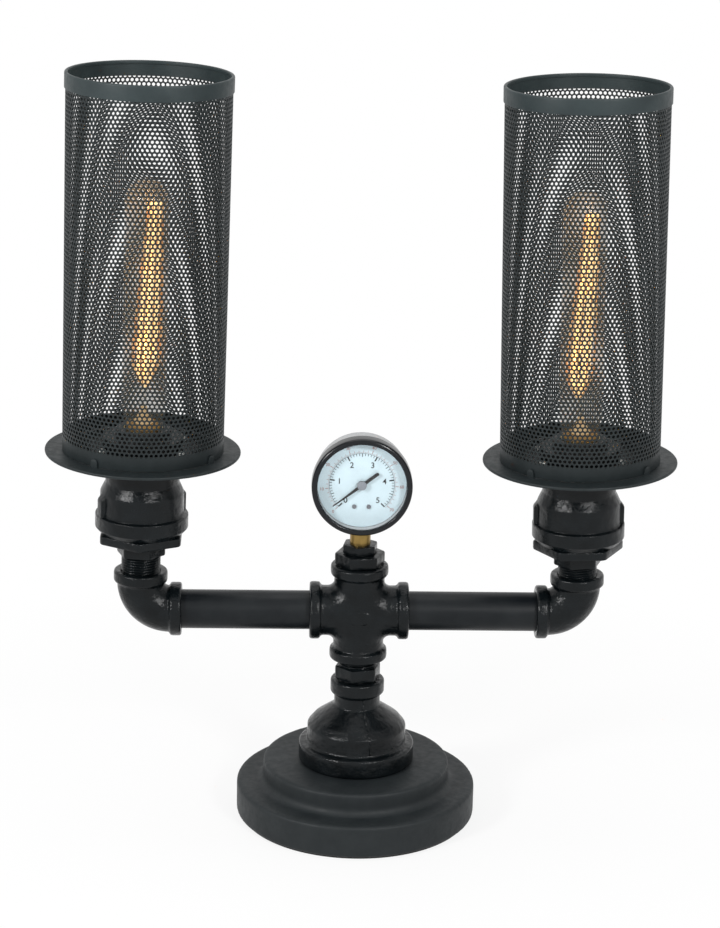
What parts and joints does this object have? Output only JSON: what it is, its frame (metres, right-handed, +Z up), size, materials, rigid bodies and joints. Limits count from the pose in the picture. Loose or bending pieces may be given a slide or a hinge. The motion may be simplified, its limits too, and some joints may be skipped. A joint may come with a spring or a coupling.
{
  "type": "table lamp",
  "caption": "Free-standing table lamp built of black threaded pipe fittings: two arms carry upright perforated cylinder shades with tubular bulbs, and a dial gauge tops the stem.",
  "frame": {"origin": "centre of the round face that the lamp stands on", "axes": "+Z up along the stem, +X along the arms to the right, -Y to the front, where the gauge faces"},
  "size_m": [0.4263, 0.166, 0.5176],
  "materials": {
    "black_casting": "semi-gloss black paint over a rough casting",
    "black_pipe": "satin black paint",
    "charcoal_base": "matt charcoal powder coat",
    "charcoal_sheet": "matt charcoal powder coat",
    "zinc_steel": "bright zinc plate",
    "black_phenolic": "moulded phenolic",
    "black_rubber": "matt",
    "lead_jacket": "matt cable jacket",
    "cap_metal": "bright brass",
    "amber_glass": "clear amber",
    "clear_glass": "clear",
    "hot_filament": "glowing wire",
    "gauge_brass": "turned",
    "case_grey": "light grey lacquer",
    "bezel_black": "gloss black",
    "dial_white": "matt white print",
    "pointer_black": "matt"
  },
  "bodies": {
    "lamp": {"base_casting": "charcoal_base", "base_pad": "black_rubber", "cable_grommet": "black_rubber", "base_cover": "charcoal_sheet", "shade_plate_left": "charcoal_sheet", "shade_plate_right": "charcoal_sheet", "cover_screws": "zinc_steel", "base_spigot": "zinc_steel", "spigot_screws": "zinc_steel", "plate_screws_left": "zinc_steel", "plate_screws_right": "zinc_steel", "dial_screws": "zinc_steel", "terminal_block": "black_phenolic", "lamp_holder_left": "black_phenolic", "lamp_holder_right": "black_phenolic", "holder_ring_left": "black_phenolic", "holder_ring_right": "black_phenolic", "base_reducer": "black_casting", "stem_nipple": "black_casting", "cross_fitting": "black_casting", "elbow_left": "black_casting", "elbow_right": "black_casting", "hex_nipple_left": "black_casting", "hex_nipple_right": "black_casting", "socket_bushing_left": "black_casting", "socket_bushing_right": "black_casting", "socket_coupling_left": "black_casting", "socket_coupling_right": "black_casting", "gauge_bushing_large": "black_casting", "gauge_bushing_small": "black_casting", "arm_pipe_left": "black_pipe", "arm_pipe_right": "black_pipe", "plate_collar_left": "black_pipe", "plate_collar_right": "black_pipe", "lead_left": "lead_jacket", "lead_right": "lead_jacket", "gauge_lens": "clear_glass", "gauge_stem": "gauge_brass", "movement_frame": "gauge_brass", "bourdon_tube": "gauge_brass", "gauge_case": "case_grey", "gauge_bezel": "bezel_black", "gauge_dial": "dial_white"},
    "pointer": {"gauge_pointer": "pointer_black", "pinion_spindle": "gauge_brass"},
    "sector": {"sector_gear": "gauge_brass"},
    "tube_end": {"tube_tip": "gauge_brass"},
    "bulb_left": {"bulb_cap_left": "cap_metal", "bulb_glass_left": "amber_glass", "bulb_mount_left": "clear_glass", "bulb_filament_left": "hot_filament"},
    "shade_left": {"shade_sheet_left": "charcoal_sheet", "shade_ring_left": "charcoal_sheet"},
    "bulb_right": {"bulb_cap_right": "cap_metal", "bulb_glass_right": "amber_glass", "bulb_mount_right": "clear_glass", "bulb_filament_right": "hot_filament"},
    "shade_right": {"shade_sheet_right": "charcoal_sheet", "shade_ring_right": "charcoal_sheet"}
  },
  "joints": [
    {"name": "pointer_turn", "type": "hinge", "parent": "lamp", "child": "pointer", "pos_m": [0, -0.0124, 0.243], "axis": [0, 1, 0], "range_deg": [0, 262]},
    {"name": "sector_turn", "type": "hinge", "parent": "lamp", "child": "sector", "pos_m": [0, 0, 0.2268], "axis": [0, 1, 0], "range_deg": [-33, 0]},
    {"name": "tube_end_slide", "type": "slide", "parent": "lamp", "child": "tube_end", "axis": [1, 0, 0], "range_m": [0, 0.00282], "stiffness_N_per_m": 200},
    {"name": "bulb_left_out", "type": "slide", "parent": "lamp", "child": "bulb_left", "axis": [0.0227, 0, 0.9997], "range_m": [0, 0.27]},
    {"name": "bulb_right_out", "type": "slide", "parent": "lamp", "child": "bulb_right", "axis": [-0.0227, 0, 0.9997], "range_m": [0, 0.27]},
    {"name": "shade_left_lift", "type": "slide", "parent": "lamp", "child": "shade_left", "axis": [0.0227, 0, 0.9997], "range_m": [0, 0.2]},
    {"name": "shade_right_lift", "type": "slide", "parent": "lamp", "child": "shade_right", "axis": [-0.0227, 0, 0.9997], "range_m": [0, 0.2]}
  ],
  "couplings": [
    {"joint": "sector_turn", "follows": "tube_end_slide", "rad_per_m": -202.75},
    {"joint": "pointer_turn", "follows": "tube_end_slide", "rad_per_m": 1622}
  ]
}
